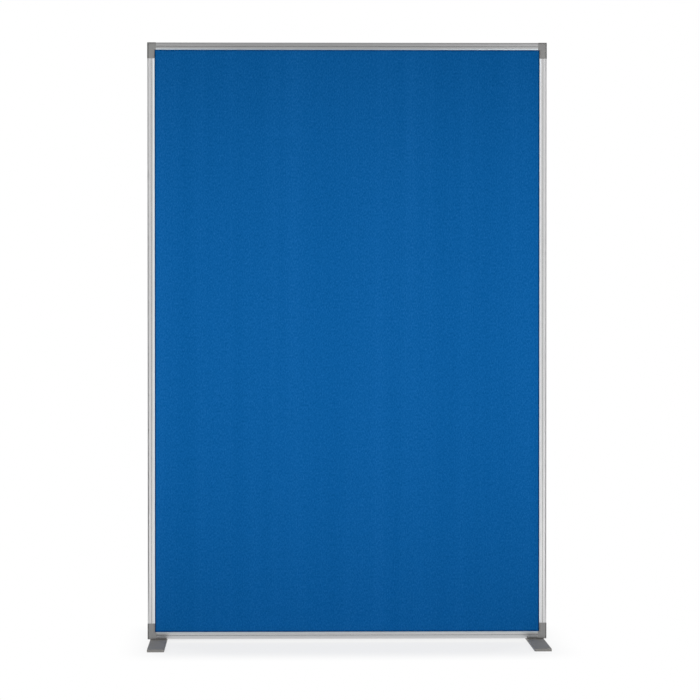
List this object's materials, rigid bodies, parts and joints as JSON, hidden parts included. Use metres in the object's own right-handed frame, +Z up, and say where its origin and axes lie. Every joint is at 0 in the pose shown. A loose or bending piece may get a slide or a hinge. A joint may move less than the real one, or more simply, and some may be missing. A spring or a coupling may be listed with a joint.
{
  "type": "felt partition screen",
  "caption": "Free-standing pinboard partition: tall felt panel in an aluminium frame with plastic corner pieces, on flat steel foot bars.",
  "frame": {"origin": "on the floor, midway between the two feet and under the middle of the board's thickness", "axes": "+X to the right as seen from the front, +Y to the rear, so the front felt faces -Y, +Z up"},
  "size_m": [1.2, 0.4, 1.8],
  "materials": {
    "anodised_aluminium": "satin natural anodised, die lines along its length",
    "corner_plastic": "fine moulded texture, mid grey",
    "softboard": "raw soft fibreboard",
    "blue_felt": "needled felt, royal blue",
    "foot_coating": "fine-textured dark grey powder coat",
    "plated_steel": "bright zinc plate",
    "insert_brass": "turned brass"
  },
  "bodies": {
    "root": {"left_stile": "anodised_aluminium", "right_stile": "anodised_aluminium", "top_rail": "anodised_aluminium", "bottom_rail": "anodised_aluminium", "corner_cap_top_left": "corner_plastic", "corner_cap_top_right": "corner_plastic", "corner_cap_bottom_left": "corner_plastic", "corner_cap_bottom_right": "corner_plastic", "core_board": "softboard", "felt_front": "blue_felt", "felt_rear": "blue_felt", "foot_plate_left": "foot_coating", "foot_plate_right": "foot_coating", "foot_screws_outer": "plated_steel", "foot_screws_inner": "plated_steel", "foot_inserts_outer": "insert_brass", "foot_inserts_inner": "insert_brass", "side_screws_left": "plated_steel", "side_screws_right": "plated_steel", "top_screws": "plated_steel"}
  },
  "joints": []
}
